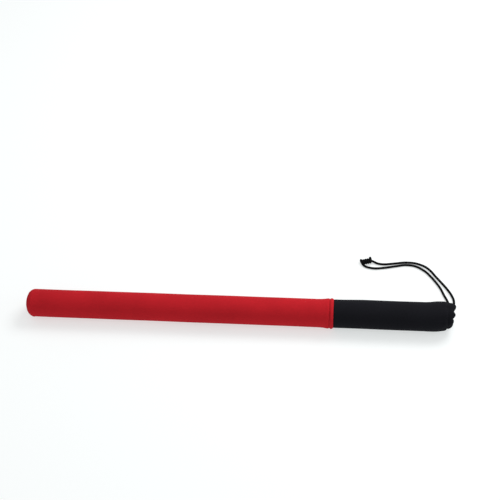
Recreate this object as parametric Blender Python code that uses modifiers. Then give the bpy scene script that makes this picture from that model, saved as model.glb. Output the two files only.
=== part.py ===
"""Padded practice baton: a foam-padded core in a red cloth sleeve, with a black cloth grip whose mouth
is gathered by a drawcord. The baton lies on its side on Z = 0, its axis along X, tip at -X and butt at
+X. Metres, +Z up. The origin is on the floor under the middle of the baton.

Turned pieces are drawn as (station, radius) outlines: station is the place along the axis, radius the
distance from it. They stand on the local Z axis of an empty that is turned to lie along world X, so
local +X points at the floor and local +Y at the back."""

import math

import bmesh
import bpy
from mathutils import Matrix, Vector

# ---------------------------------------------------------------- driving dimensions
LENGTH = 0.660
RADIUS = 0.0216  # outside of the cloth
CLOTH = 0.0006  # one layer of cloth
GAP = 0.0003  # clearance between neighbouring pieces
PRESS = 0.0007  # how far the padding gives under its own weight, which leaves a flat strip
SEAM_SLOT = 0.0010  # space between the two edges of the cloth at a lengthwise seam
SEAM_ANGLE = math.radians(55)  # lengthwise seams, from straight down towards the back
THREAD = 0.0002  # thread radius
TURN_STEPS = 36

TIP = -LENGTH / 2
BUTT = LENGTH / 2
AXIS_HEIGHT = RADIUS - PRESS

TIP_DEPTH = 0.013  # from the apex of the domed end to where the straight sleeve begins
TIP_CORNER = 0.010  # rounding at the edge of the end panel
TIP_SEAM = math.radians(45)  # where round the corner the panel meets the sleeve
ALLOWANCE = 0.0022  # depth of the turned-in cloth at the tip seam

HEM_EDGE = 0.150  # free edge of the red hem
HEM_STITCH = 0.1436
HEM_RADIUS = 0.02305
HEM_RIM = 0.0234  # the rolled edge
HEM_GROOVE = 0.0223  # cloth pulled down under the stitches

GRIP_START = 0.134  # end of the black cloth, hidden under the red hem
GRIP_TUCK = 0.0204  # its radius there
BUTT_SWELL = 0.0220  # cloth bunches a little where the gathering begins

CHANNEL_HALF_WIDTH = 0.0064  # along the axis, to the middle of the cloth
CHANNEL_HALF_HEIGHT = 0.0037
CHANNEL_RADIUS = 0.0134  # middle of the channel from the axis
CHANNEL_CENTRE = BUTT - CHANNEL_HALF_WIDTH - CLOTH / 2
CHANNEL_NECK = (CHANNEL_CENTRE - 0.0062, 0.0160)  # middle of the cloth where the channel is stitched shut
CHANNEL_STITCH = (CHANNEL_NECK[0], CHANNEL_NECK[1] + CLOTH / 2 + GAP + 0.0002)

CORD = 0.0016  # radius of the drawcord
CORD_RING = 0.0127  # radius of the drawcord's turn inside the channel
CORD_STATION = CHANNEL_CENTRE + 0.0009
STRAND_ANGLES = (math.radians(-22), 0.0)  # from the horizontal, at the back: strands A and B
STRAND_START = 0.0131  # the strands leave the turn at this distance from the axis
STRAND_SLIT = 0.0174  # and pass the channel's outer wall at this one
RING_CLEARANCE = math.radians(9.5)  # from a strand to the cut end of the turn
CORD_REST = CORD + 0.00002  # height of a cord that lies on the floor

CORE_RADIUS = 0.0110
CORE_WALL = 0.0022
CORE_ENDS = (-0.3095, 0.3055)
PLUG_FLANGE = 0.0025
PLUG_DEPTH = 0.016

FOAM_ROOM = 0.0005  # foam to cloth: the gap, and what the facets of two turned pieces take from it
FOAM_RADIUS = RADIUS - CLOTH - FOAM_ROOM
FIRM_RADIUS = CORE_RADIUS + 0.0015  # the padding isn't squeezed this close to the core
FOAM_WAIST = GRIP_TUCK - CLOTH - FOAM_ROOM
FOAM_ENDS = (-0.3125, 0.3090)

KNOT_CENTRE = Vector((0.1996, 0.1213, 0.0042))
KNOT_HEADING = math.radians(16.3)
KNOT_HALF_LENGTH = 0.0066
KNOT_RADIUS = 0.0041

# Outermost radius along the baton, where it stands proud of RADIUS
PROUD = (
    (0.126, RADIUS), (0.141, HEM_RADIUS), (0.1456, HEM_RIM), (HEM_EDGE, HEM_RIM), (0.160, RADIUS),
    (0.296, RADIUS), (0.301, BUTT_SWELL), (0.305, BUTT_SWELL), (0.310, RADIUS),
)

# Free strands of the drawcord: out of the slit, down behind the butt, then along the floor to the knot
ROUTE_A = (
    (0.3246, 0.0212, 0.0124), (0.3257, 0.0249, 0.0110), (0.3273, 0.0284, 0.0090), (0.3293, 0.0319, 0.0066),
    (0.3312, 0.0355, 0.0045), (0.3326, 0.0395, 0.0029), (0.3333, 0.0437, 0.0019), (0.3334, 0.0480, CORD_REST),
    (0.3330, 0.0534, CORD_REST), (0.3290, 0.0625, CORD_REST), (0.3218, 0.0752, CORD_REST),
    (0.3144, 0.0853, CORD_REST), (0.3069, 0.0962, CORD_REST), (0.2994, 0.1075, CORD_REST),
    (0.2905, 0.1160, CORD_REST), (0.2761, 0.1222, CORD_REST), (0.2602, 0.1233, CORD_REST),
    (0.2443, 0.1208, CORD_REST), (0.2284, 0.1188, CORD_REST), (0.2150, 0.1196, CORD_REST),
    (0.2068, 0.1232, 0.0032),
)
ROUTE_B = (
    (0.3243, 0.0197, 0.0209), (0.3244, 0.0235, 0.0207), (0.3245, 0.0272, 0.0193), (0.3246, 0.0302, 0.0164),
    (0.3247, 0.0325, 0.0126), (0.3248, 0.0348, 0.0087), (0.3248, 0.0377, 0.0052), (0.3246, 0.0412, 0.0028),
    (0.3240, 0.0455, 0.0018), (0.3221, 0.0515, CORD_REST), (0.3189, 0.0590, CORD_REST),
    (0.3139, 0.0723, CORD_REST), (0.3066, 0.0852, CORD_REST), (0.2991, 0.0961, CORD_REST),
    (0.2900, 0.1068, CORD_REST), (0.2760, 0.1160, CORD_REST), (0.2602, 0.1181, CORD_REST),
    (0.2443, 0.1149, CORD_REST), (0.2285, 0.1113, CORD_REST), (0.2126, 0.1091, CORD_REST),
    (0.2005, 0.1108, CORD_REST), (0.1944, 0.1142, CORD_REST), (0.1912, 0.1186, CORD_REST),
)
STRAND_STEP = 0.0070  # spacing of the points that a strand's tube is made with

# The knot's small bight at the far end of strand B, and the cut tail that stands out of the knot
KNOT_BIGHT = ((0.1907, 0.1196, 0.0020), (0.1890, 0.1226, 0.0026), (0.1886, 0.1250, 0.0034),
              (0.1904, 0.1260, 0.0040), (0.1932, 0.1243, 0.0043), (0.1962, 0.1222, 0.0043))
KNOT_TAIL = ((0.2000, 0.1222, 0.0050), (0.2016, 0.1256, 0.0062), (0.2030, 0.1286, 0.0064))


# ---------------------------------------------------------------- scene and materials
def clear_scene():
    for obj in list(bpy.data.objects):
        bpy.data.objects.remove(obj, do_unlink=True)


def new_collection(name):
    collection = bpy.data.collections.new(name)
    bpy.context.scene.collection.children.link(collection)
    return collection


def new_material(name, colour, roughness, metallic=0.0):
    material = bpy.data.materials.new(name)
    material.use_nodes = True
    shader = material.node_tree.nodes["Principled BSDF"]
    shader.inputs["Base Color"].default_value = (*colour, 1.0)
    shader.inputs["Roughness"].default_value = roughness
    shader.inputs["Metallic"].default_value = metallic
    return material


clear_scene()
PARTS = new_collection("padded_practice_baton")
CUTTERS = new_collection("cutters")

RED_CLOTH = new_material("red_cloth", (0.42, 0.018, 0.026), 0.85)
RED_THREAD = new_material("red_thread", (0.36, 0.015, 0.022), 0.7)
BLACK_CLOTH = new_material("black_cloth", (0.010, 0.010, 0.014), 0.9)
BLACK_THREAD = new_material("black_thread", (0.012, 0.012, 0.014), 0.7)
BLACK_CORD = new_material("black_cord", (0.006, 0.006, 0.008), 0.75)
GREY_FOAM = new_material("grey_foam", (0.060, 0.060, 0.064), 0.95)
CORE_PLASTIC = new_material("core_plastic", (0.55, 0.54, 0.50), 0.45)
PLUG_PLASTIC = new_material("plug_plastic", (0.030, 0.030, 0.032), 0.5)

AXIS = bpy.data.objects.new("baton_axis", None)
AXIS.location = (0.0, 0.0, AXIS_HEIGHT)
AXIS.rotation_euler = (0.0, math.pi / 2, 0.0)
PARTS.objects.link(AXIS)
bpy.context.view_layer.update()


# ---------------------------------------------------------------- modelling helpers
def add_object(name, mesh, material, collection=PARTS):
    obj = bpy.data.objects.new(name, mesh)
    collection.objects.link(obj)
    if material:
        mesh.materials.clear()
        mesh.materials.append(material)
    return obj


def evaluated_mesh(obj):
    depsgraph = bpy.context.evaluated_depsgraph_get()
    depsgraph.update()
    return bpy.data.meshes.new_from_object(obj.evaluated_get(depsgraph))


def shade_round(mesh):
    mesh.shade_smooth()
    mesh.set_sharp_from_angle(angle=math.radians(40))


def press_at(station):
    """How far the floor pushes the underside in at this station."""
    outer = RADIUS
    for (low, radius_low), (high, radius_high) in zip(PROUD, PROUD[1:]):
        if low <= station <= high:
            outer = radius_low + (radius_high - radius_low) * (station - low) / (high - low)
    return outer - AXIS_HEIGHT


def press_on_floor(mesh):
    """Flattens the underside: each layer gives way by the same amount, so the layers stay apart."""
    for vertex in mesh.vertices:
        radius = math.hypot(vertex.co.x, vertex.co.y)
        limit = radius - press_at(vertex.co.z)
        if radius > FIRM_RADIUS and vertex.co.x > limit:
            vertex.co.x = limit


def outline_mesh(name, outline, closed, angle):
    """An outline of (station, radius) points as a wire in the half plane at this angle round the axis."""
    points = [(radius * math.cos(angle), radius * math.sin(angle), station) for station, radius in outline]
    edges = [(i, i + 1) for i in range(len(points) - 1)]
    if closed:
        edges.append((len(points) - 1, 0))
    mesh = bpy.data.meshes.new(name)
    mesh.from_pydata(points, edges, [])
    return mesh


def add_screw(obj, angle, steps, merge):
    screw = obj.modifiers.new("turn", "SCREW")
    screw.axis = "Z"
    screw.angle = angle
    screw.steps = steps
    screw.render_steps = steps
    screw.use_merge_vertices = merge
    screw.merge_threshold = 0.00001


def finish_turned(obj):
    """Keeps the modelled shape, pressed on the floor, and lays it along the baton's axis."""
    mesh = evaluated_mesh(obj)
    mesh.name = obj.name
    obj.modifiers.clear()
    obj.data = mesh
    press_on_floor(mesh)
    shade_round(mesh)
    obj.parent = AXIS
    return obj


def turned_solid(name, outline, material, closed=False, steps=TURN_STEPS):
    """A solid of revolution. The outline runs from the +X end of its outer side to the -X end."""
    obj = add_object(name, outline_mesh(name, outline, closed, 0.0), material)
    add_screw(obj, math.tau, steps, merge=True)
    return finish_turned(obj)


def turned_cloth(name, outline, material, seam):
    """Cloth along the middle-of-layer outline. With a seam it is a rolled sheet whose edges nearly meet."""
    slot = SEAM_SLOT / (RADIUS - CLOTH / 2) if seam else 0.0
    start = SEAM_ANGLE + slot / 2
    obj = add_object(name, outline_mesh(name, outline, False, start), material)
    add_screw(obj, math.tau - slot, TURN_STEPS, merge=not seam)
    solidify = obj.modifiers.new("cloth", "SOLIDIFY")
    solidify.thickness = CLOTH
    solidify.offset = 0.0
    solidify.use_even_offset = True
    return finish_turned(obj)


def smooth_route(points, step):
    """Points at equal steps along a Catmull-Rom curve through the given ones."""
    ends = [2 * points[0] - points[1], *points, 2 * points[-1] - points[-2]]
    fine = []
    for i in range(1, len(ends) - 2):
        before, here, there, after = ends[i - 1:i + 3]
        for k in range(12):
            t = k / 12
            fine.append(0.5 * (2 * here + (there - before) * t
                               + (2 * before - 5 * here + 4 * there - after) * t ** 2
                               + (3 * here - before - 3 * there + after) * t ** 3))
    fine.append(points[-1])
    length = sum((b - a).length for a, b in zip(fine, fine[1:]))
    count = max(2, round(length / step))
    spaced = [fine[0]]
    travelled = 0.0
    for a, b in zip(fine, fine[1:]):
        piece = (b - a).length
        while len(spaced) < count and travelled + piece >= length * len(spaced) / count:
            spaced.append(a.lerp(b, (length * len(spaced) / count - travelled) / piece))
        travelled += piece
    return [*spaced, fine[-1]]


def tube(name, points, radius, material, closed=False, bevel_resolution=2):
    curve = bpy.data.curves.new(name, "CURVE")
    curve.dimensions = "3D"
    curve.bevel_depth = radius
    curve.bevel_resolution = bevel_resolution
    curve.use_fill_caps = True
    spline = curve.splines.new("POLY")
    spline.points.add(len(points) - 1)
    for target, point in zip(spline.points, points):
        target.co = (*point, 1.0)
    spline.use_cyclic_u = closed
    curve.materials.append(material)
    obj = bpy.data.objects.new(name, curve)
    PARTS.objects.link(obj)
    return obj


def tube_as_mesh(obj):
    """The tube as a closed mesh object with welded caps, in the place of the curve."""
    name, material = obj.name, obj.data.materials[0]
    mesh = evaluated_mesh(obj)
    matrix = obj.matrix_world.copy()
    bpy.data.objects.remove(obj, do_unlink=True)
    cage = bmesh.new()
    cage.from_mesh(mesh)
    bmesh.ops.remove_doubles(cage, verts=cage.verts, dist=0.00001)
    bmesh.ops.recalc_face_normals(cage, faces=cage.faces)
    cage.to_mesh(mesh)
    cage.free()
    mesh.name = name
    solid = add_object(name, mesh, material)
    solid.matrix_world = matrix
    return solid


def thread_ring(name, station, radius, material):
    """A closed turn of thread round the baton."""
    count = 48
    points = [Vector((radius * math.cos(turn), radius * math.sin(turn), station))
              for turn in (math.tau * i / count for i in range(count))]
    ring = tube_as_mesh(tube(name, points, THREAD, material, closed=True))
    return finish_turned(ring)


def seam_thread(name, start, end, material):
    """A straight run of thread in a lengthwise seam."""
    radius = RADIUS - CLOTH / 2
    across = Vector((radius * math.cos(SEAM_ANGLE), radius * math.sin(SEAM_ANGLE), 0.0))
    points = [across + Vector((0.0, 0.0, station)) for station in (start, end)]
    run = tube(name, points, THREAD, material)
    run.parent = AXIS
    return run


def radial_point(station, distance, angle):
    """A world point at this distance from the axis, angle above the horizontal at the back."""
    return Vector((station, distance * math.cos(angle), AXIS_HEIGHT + distance * math.sin(angle)))


# ---------------------------------------------------------------- core and padding
def make_core():
    low, high = CORE_ENDS
    bore = CORE_RADIUS - CORE_WALL
    turned_solid("core_tube", ((high, CORE_RADIUS), (low, CORE_RADIUS), (low, bore), (high, bore)),
                 CORE_PLASTIC, closed=True, steps=28)
    for name, end, way in (("tip_plug", low, -1), ("butt_plug", high, 1)):
        stem = bore - GAP
        face = end + way * GAP
        outline = [(face + way * PLUG_FLANGE, 0.0), (face + way * PLUG_FLANGE, CORE_RADIUS - 0.0010),
                   (face + way * (PLUG_FLANGE - 0.0010), CORE_RADIUS), (face, CORE_RADIUS), (face, stem),
                   (face - way * (PLUG_DEPTH - 0.0015), stem), (face - way * PLUG_DEPTH, stem - 0.0015),
                   (face - way * PLUG_DEPTH, 0.0)]
        if way < 0:
            outline.reverse()
        turned_solid(name, outline, PLUG_PLASTIC, steps=28)


def make_foam():
    low, high = FOAM_ENDS
    bore = CORE_RADIUS + GAP
    edge = 0.0015
    outline = ((high, FOAM_RADIUS - 0.0009), (0.3060, FOAM_RADIUS - 0.0002), (0.3010, FOAM_RADIUS),
               (0.2960, FOAM_RADIUS), (0.1600, FOAM_RADIUS), (0.1530, FOAM_RADIUS), (0.1465, FOAM_WAIST),
               (0.1310, FOAM_WAIST), (0.1240, FOAM_RADIUS),
               (low + edge, FOAM_RADIUS), (low, FOAM_RADIUS - edge), (low, bore), (high, bore))
    turned_solid("foam_tube", outline, GREY_FOAM, closed=True)

    tip_face = low - GAP
    dome = TIP + CLOTH + GAP
    tip_outline = ((tip_face, 0.0), (tip_face, 0.0200), (tip_face - 0.0035, 0.0196), (-0.3195, 0.0140),
                   (-0.3262, 0.0122), (-0.3278, 0.0085), (dome, 0.0))
    turned_solid("tip_pad", tip_outline, GREY_FOAM)

    butt_face = high + GAP
    butt_outline = ((0.3166, 0.0), (0.3160, 0.0080), (0.3155, 0.0125), (0.3150, 0.0150), (0.3140, 0.0172),
                    (0.3120, 0.0190), (butt_face, 0.0198), (butt_face, 0.0))
    turned_solid("butt_pad", butt_outline, GREY_FOAM)


# ---------------------------------------------------------------- red sleeve
def corner_point(turn, distance):
    """A point at this distance from the centre of the tip's rounding, turned from straight out to the tip."""
    centre = (TIP + TIP_DEPTH, RADIUS - TIP_CORNER)
    return (centre[0] - distance * math.sin(turn), centre[1] + distance * math.cos(turn))


def seam_edge(way):
    """The last of one cloth at the tip seam, from the outside in: it rounds over into its allowance."""
    shape = ((0.0, 6.8), (0.00025, 4.6), (0.0007, 3.4), (0.0007 + ALLOWANCE, 3.6))
    middle = TIP_CORNER - CLOTH / 2
    return [corner_point(TIP_SEAM + way * math.radians(degrees), middle - inward) for inward, degrees in shape]


def make_tip_panel():
    depth = TIP_DEPTH - CLOTH / 2
    corner = TIP_CORNER - CLOTH / 2
    offset = RADIUS - TIP_CORNER
    crown = (depth ** 2 + offset ** 2 - corner ** 2) / (2 * (depth - corner))  # radius of the domed middle
    crown_centre = TIP + CLOTH / 2 + crown
    half_angle = math.atan2(offset, crown - depth)
    outline = [(crown_centre - crown * math.cos(half_angle * k / 4), crown * math.sin(half_angle * k / 4))
               for k in range(5)]
    outline.append(corner_point(math.radians(56), corner))
    outline += seam_edge(+1)
    turned_cloth("tip_panel", outline, RED_CLOTH, seam=False)


def make_red_sleeve():
    half = CLOTH / 2
    outline = list(reversed(seam_edge(-1)))
    outline += [corner_point(math.radians(degrees), TIP_CORNER - half) for degrees in (28, 18, 9, 0)]
    outer = ((0.126, RADIUS), (0.131, RADIUS + 0.00018), (0.135, RADIUS + 0.0005), (0.1385, RADIUS + 0.0011),
             (0.141, HEM_RADIUS), (0.1426, HEM_RADIUS - 0.0002), (HEM_STITCH, HEM_GROOVE),
             (0.1446, HEM_RADIUS - 0.0001), (0.1460, HEM_RIM))
    outline += [(station, radius - half) for station, radius in outer]
    fold = 0.0006
    fold_centre = (HEM_EDGE - half - fold, HEM_RIM - half - fold)
    outline += [(fold_centre[0] + fold * math.sin(math.radians(turn)),
                 fold_centre[1] + fold * math.cos(math.radians(turn))) for turn in (0, 45, 90, 135, 180)]
    under = fold_centre[1] - fold
    outline += [(0.1462, under), (0.1447, under - 0.0004), (HEM_STITCH, under - 0.0008),
                (0.1424, under - 0.0005), (0.1412, under - 0.0003), (0.1397, under - 0.0003)]
    turned_cloth("red_sleeve", outline, RED_CLOTH, seam=True)


def make_red_threads():
    seam_thread("red_seam_thread", TIP + TIP_DEPTH, 0.126, RED_THREAD)
    thread_ring("hem_stitch_thread", HEM_STITCH, HEM_GROOVE + GAP + THREAD, RED_THREAD)
    station, radius = corner_point(TIP_SEAM, TIP_CORNER - CLOTH / 2 - THREAD / 2)
    thread_ring("tip_seam_thread", station, radius, RED_THREAD)


# ---------------------------------------------------------------- black grip and its channel
def channel_point(degrees):
    turn = math.radians(degrees)
    return (CHANNEL_CENTRE + CHANNEL_HALF_WIDTH * math.cos(turn),
            CHANNEL_RADIUS + CHANNEL_HALF_HEIGHT * math.sin(turn))


def make_grip_sleeve():
    half = CLOTH / 2
    outer = ((GRIP_START, GRIP_TUCK), (0.1452, GRIP_TUCK), (0.1475, GRIP_TUCK + 0.0005), (0.1500, 0.0213),
             (0.1525, RADIUS), (0.1600, RADIUS), (0.2960, RADIUS), (0.3010, BUTT_SWELL),
             (0.3050, BUTT_SWELL - 0.0001), (0.3090, 0.0213), (0.3124, 0.0202), (0.3152, 0.0184))
    outline = [(station, radius - half) for station, radius in outer]
    outline.append(CHANNEL_NECK)
    outline += [channel_point(degrees) for degrees in (138, 115, 90, 60, 30, 0, -30, -60, -90, -120, -150, -175)]
    grip = turned_cloth("grip_sleeve", outline, BLACK_CLOTH, seam=True)

    cut = grip.modifiers.new("cord_slit", "BOOLEAN")
    cut.operation = "DIFFERENCE"
    cut.object = slit_cutter()


def slit_cutter():
    """A round-ended slot through the channel's outer wall, long enough for both strands side by side."""
    middle = sum(STRAND_ANGLES) / 2
    size = Vector((0.0046, 0.0060, 0.0114))  # along the axis, outwards, round the baton
    cage = bmesh.new()
    bmesh.ops.create_cube(cage, size=1.0, matrix=Matrix.Diagonal((*size, 1.0)))
    uprights = [edge for edge in cage.edges
                if abs((edge.verts[0].co - edge.verts[1].co).normalized().y) > 0.9]
    bmesh.ops.bevel(cage, geom=uprights, offset=0.0021, segments=4, profile=0.5, affect="EDGES")
    mesh = bpy.data.meshes.new("slit")
    cage.to_mesh(mesh)
    cage.free()
    cutter = add_object("slit", mesh, None, CUTTERS)
    cutter.location = radial_point(CORD_STATION, STRAND_SLIT, middle)
    cutter.rotation_euler = (middle, 0.0, 0.0)
    cutter.hide_render = True
    cutter.display_type = "WIRE"
    return cutter


def make_black_threads():
    seam_thread("grip_seam_thread", 0.153, 0.300, BLACK_THREAD)
    thread_ring("channel_stitch_thread", *CHANNEL_STITCH, BLACK_THREAD)


# ---------------------------------------------------------------- drawcord
def make_drawcord():
    """The turn inside the channel, open at the slit where the two strands leave."""
    start = STRAND_ANGLES[1] + RING_CLEARANCE
    end = STRAND_ANGLES[0] - RING_CLEARANCE + math.tau
    count = 30
    points = [radial_point(CORD_STATION, CORD_RING, start + (end - start) * i / count) for i in range(count + 1)]
    tube("drawcord", points, CORD, BLACK_CORD)


def make_strands():
    for name, angle, route in (("cord_strand_a", STRAND_ANGLES[0], ROUTE_A),
                               ("cord_strand_b", STRAND_ANGLES[1], ROUTE_B)):
        start = [radial_point(CORD_STATION, distance, angle) for distance in (STRAND_START, STRAND_SLIT)]
        points = smooth_route([*start, *(Vector(point) for point in route)], STRAND_STEP)
        tube(name, points, CORD, BLACK_CORD)


def make_knot():
    """An outer shape for the knot: a rounded body, the bight that strand B ends in, and a cut tail."""
    arc = [(KNOT_HALF_LENGTH * math.cos(math.pi * i / 10), KNOT_RADIUS * math.sin(math.pi * i / 10) ** 0.8)
           for i in range(11)]
    knot = add_object("cord_knot", outline_mesh("cord_knot", arc, False, 0.0), BLACK_CORD)
    add_screw(knot, math.tau, 20, merge=True)
    mesh = evaluated_mesh(knot)
    knot.modifiers.clear()
    knot.data = mesh
    shade_round(mesh)
    knot.location = KNOT_CENTRE
    knot.rotation_euler = (0.0, math.pi / 2, KNOT_HEADING)
    for name, route, radius in (("knot_bight", KNOT_BIGHT, CORD), ("knot_tail", KNOT_TAIL, CORD * 0.9)):
        points = smooth_route([Vector(point) for point in route], 0.0012)
        piece = tube_as_mesh(tube(name, points, radius, BLACK_CORD))
        PARTS.objects.unlink(piece)
        CUTTERS.objects.link(piece)
        piece.hide_render = True
        piece.display_type = "WIRE"
        join = knot.modifiers.new(name, "BOOLEAN")
        join.operation = "UNION"
        join.object = piece


make_core()
make_foam()
make_tip_panel()
make_red_sleeve()
make_red_threads()
make_grip_sleeve()
make_black_threads()
make_drawcord()
make_strands()
make_knot()
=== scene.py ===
"""The looks of the padded practice baton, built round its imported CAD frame.

The baton lies along X on the floor, tip at -X. Cloth is drawn as rings of points round the baton's axis:
each ring has a station (the place along X), a radius and a depth (how far the layer lies under the outer
one), and "turn" is the angle round the axis, 0 at the back (+Y) and a quarter turn straight up."""

import math

import bmesh
import bpy
import numpy as np
from mathutils import Matrix, Vector


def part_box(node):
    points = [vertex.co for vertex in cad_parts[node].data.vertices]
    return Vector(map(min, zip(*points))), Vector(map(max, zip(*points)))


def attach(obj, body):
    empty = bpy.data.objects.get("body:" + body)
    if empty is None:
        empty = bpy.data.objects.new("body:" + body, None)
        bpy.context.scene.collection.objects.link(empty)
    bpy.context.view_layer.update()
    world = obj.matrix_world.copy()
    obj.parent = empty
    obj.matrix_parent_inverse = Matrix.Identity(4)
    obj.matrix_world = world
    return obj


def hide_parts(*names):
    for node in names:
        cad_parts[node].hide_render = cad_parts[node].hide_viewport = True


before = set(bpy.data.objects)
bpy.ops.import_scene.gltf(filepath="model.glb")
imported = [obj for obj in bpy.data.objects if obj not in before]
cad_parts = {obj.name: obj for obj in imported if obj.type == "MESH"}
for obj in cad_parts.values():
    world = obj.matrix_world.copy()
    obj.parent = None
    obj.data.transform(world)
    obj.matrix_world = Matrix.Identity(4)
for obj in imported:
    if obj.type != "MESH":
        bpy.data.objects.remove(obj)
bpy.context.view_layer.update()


# ---------------------------------------------------------------- sizes, from the frame where it has them
def middle_station(node):
    return sum(corner.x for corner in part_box(node)) / 2


CLOTH = 0.0006  # one layer of cloth
FOAM_ROOM = 0.0005  # between the padding and the cloth round it
FOAM_WAIST = 0.0013  # how far the padding is squeezed under the overlap of the two cloths
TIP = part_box("tip_panel")[0].x
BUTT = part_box("grip_sleeve")[1].x
CORE_LOW, CORE_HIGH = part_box("core_tube")
FOAM_LOW, FOAM_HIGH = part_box("foam_tube")
AXIS_HEIGHT = (CORE_LOW.z + CORE_HIGH.z) / 2
CORE_RADIUS = (CORE_HIGH.y - CORE_LOW.y) / 2
FOAM_RADIUS = (FOAM_HIGH.y - FOAM_LOW.y) / 2
RADIUS = FOAM_RADIUS + FOAM_ROOM + CLOTH
HEM_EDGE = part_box("red_sleeve")[1].x
HEM_STITCH = middle_station("hem_stitch_thread")
HEM_STITCHES = 48  # round the hem
GRIP_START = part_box("grip_sleeve")[0].x
NECK = middle_station("channel_stitch_thread")

SEAM = math.radians(-35)  # lengthwise seams: low on the back
SEAM_PITCH = 0.0045  # from stitch to stitch along them
PRESS_SOFTNESS = 0.0003  # how softly the round underside turns into the flat that lies on the floor

TIP_DEPTH = 0.013  # from the apex of the domed end to where the straight sleeve begins
TIP_CORNER = 0.010  # rounding at the edge of the end panel
TIP_SEAM = 45.0  # degrees round the corner from straight out, where panel and sleeve meet
TIP_CENTRE = (TIP + TIP_DEPTH, RADIUS - TIP_CORNER)
# Either cloth's edge turned in at that seam: (degrees away from it, way in, depth of the sleeve's layer)
TIP_TURN_IN = ((5.6, 0.00002, 0.0), (3.6, 0.00012, 0.00012), (2.3, 0.00035, 0.00035), (1.7, 0.0008, 0.0008),
               (1.9, 0.0014, 0.0014), (2.2, 0.0027, 0.0027))

MOUTH_LEAN = math.radians(41)  # the gathered mouth is pulled this way, towards the slit
MOUTH_SHIFT = 0.0022  # and this far
MOUTH_TILT = 0.055  # slope of its rim, which stands further out on that side
# Where the pleats stand further out of the mouth than the rest, or less far: (turn, width, reach)
MOUTH_BULGES = ((math.radians(45), math.radians(27), 0.0024), (math.radians(-7), math.radians(13), -0.0012),
                (math.radians(-40), math.radians(17), 0.0031), (math.radians(117), math.radians(21), 0.0015))
MOUTH_FULLNESS = (math.radians(46), math.radians(28), 0.0015)  # the same where the channel is fuller
# Valleys between the pleats of the mouth, round the axis in degrees, and how far each runs on into the body
VALLEYS = (16, 89, 143, 192, 238, 268, 300, 333)
CREASES = (0.35, 1.0, 1.0, 0.6, 0.35, 0.5, 0.5, 0.6)
PLEAT_ROUNDNESS = 0.62  # power of the sine over a pleat: below 1 its crown is broad and its valleys narrow

CORD = 0.0016  # radius of the drawcord
CORD_LOOK = 0.00185  # the braid is a little fuller than the round it is measured by
CORD_RING = 0.0127  # radius of its turn inside the channel
CORD_STATION = middle_station("drawcord")
CORD_REST = CORD_LOOK + 0.00002  # height of its middle where it lies on the floor
STRAND_STARTS = (0.0131, 0.0174)  # distances from the axis of a strand's first two points, in the channel
STRAND_TURNS = (math.radians(-22), 0.0)  # strands A and B
SLIT_STATION = CORD_STATION + 0.0006
SLIT_TURN = sum(STRAND_TURNS) / 2
SLIT_END = 0.0021  # radius of the slit's round ends
SLIT_SIDE = 0.0036  # half of its straight side
SLIT_RADIUS = 0.0192  # the channel's outside where the slit is

# Free strands of the drawcord: out of the slit, down behind the butt, then along the floor to the knot
ROUTE_A = (
    (0.3246, 0.0212, 0.0124), (0.3257, 0.0249, 0.0110), (0.3273, 0.0284, 0.0090), (0.3293, 0.0319, 0.0066),
    (0.3312, 0.0355, 0.0045), (0.3327, 0.0395, 0.0029), (0.3335, 0.0437, 0.0020),
    (0.3334, 0.0480, CORD_REST), (0.3327, 0.0520, CORD_REST), (0.3313, 0.0563, CORD_REST),
    (0.3289, 0.0622, CORD_REST), (0.3252, 0.0690, CORD_REST), (0.3204, 0.0768, CORD_REST),
    (0.3144, 0.0855, CORD_REST), (0.3069, 0.0962, CORD_REST), (0.2994, 0.1075, CORD_REST),
    (0.2905, 0.1160, CORD_REST), (0.2761, 0.1222, CORD_REST), (0.2602, 0.1233, CORD_REST),
    (0.2443, 0.1208, CORD_REST), (0.2290, 0.1184, CORD_REST), (0.2212, 0.1185, CORD_REST),
    (0.2152, 0.1197, 0.0020), (0.2104, 0.1217, 0.0028),
)
ROUTE_B = (
    (0.3243, 0.0197, 0.0209), (0.3244, 0.0235, 0.0207), (0.3245, 0.0272, 0.0193), (0.3246, 0.0302, 0.0164),
    (0.3247, 0.0325, 0.0126), (0.3248, 0.0348, 0.0087), (0.3248, 0.0377, 0.0052), (0.3246, 0.0412, 0.0028),
    (0.3240, 0.0455, 0.0020), (0.3218, 0.0515, CORD_REST), (0.3186, 0.0590, CORD_REST),
    (0.3136, 0.0723, CORD_REST), (0.3064, 0.0852, CORD_REST), (0.2991, 0.0961, CORD_REST),
    (0.2900, 0.1068, CORD_REST), (0.2760, 0.1160, CORD_REST), (0.2602, 0.1181, CORD_REST),
    (0.2443, 0.1149, CORD_REST), (0.2285, 0.1113, CORD_REST), (0.2126, 0.1091, CORD_REST),
    (0.2005, 0.1108, CORD_REST), (0.1944, 0.1142, CORD_REST), (0.1912, 0.1186, CORD_REST),
)

# The knot's own points are given along it towards strand A, across it to the back, and up from its middle
KNOT_CENTRE = np.array((0.2002, 0.1215, 0.0048))
KNOT_HEADING = math.radians(16.3)
KNOT_COIL = 0.0029  # radius of the coils' middle line
KNOT_COIL_START, KNOT_COIL_LENGTH = -0.0074, 0.0124
KNOT_COIL_TURNS = (math.radians(62), math.radians(1380))  # from and to
KNOT_COIL_SLANT = 0.30
KNOT_BIGHT = ((-0.0097, 0.0020, -0.0029), (-0.0101, 0.0038, -0.0025), (-0.0103, 0.0051, -0.0010),
              (-0.0102, 0.0044, 0.0006), (-0.0098, 0.0026, 0.0008), (-0.0090, 0.0012, 0.0015))
KNOT_TAIL = ((0.0056, 0.0036, -0.0010), (0.0052, 0.0049, 0.0005), (0.0047, 0.0054, 0.0014))
KNOT_CORE = ((0.0045, 0.0, 0.0), (0.0, 0.0, 0.0), (-0.0035, 0.0, 0.0))  # strand A inside the coils

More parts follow.
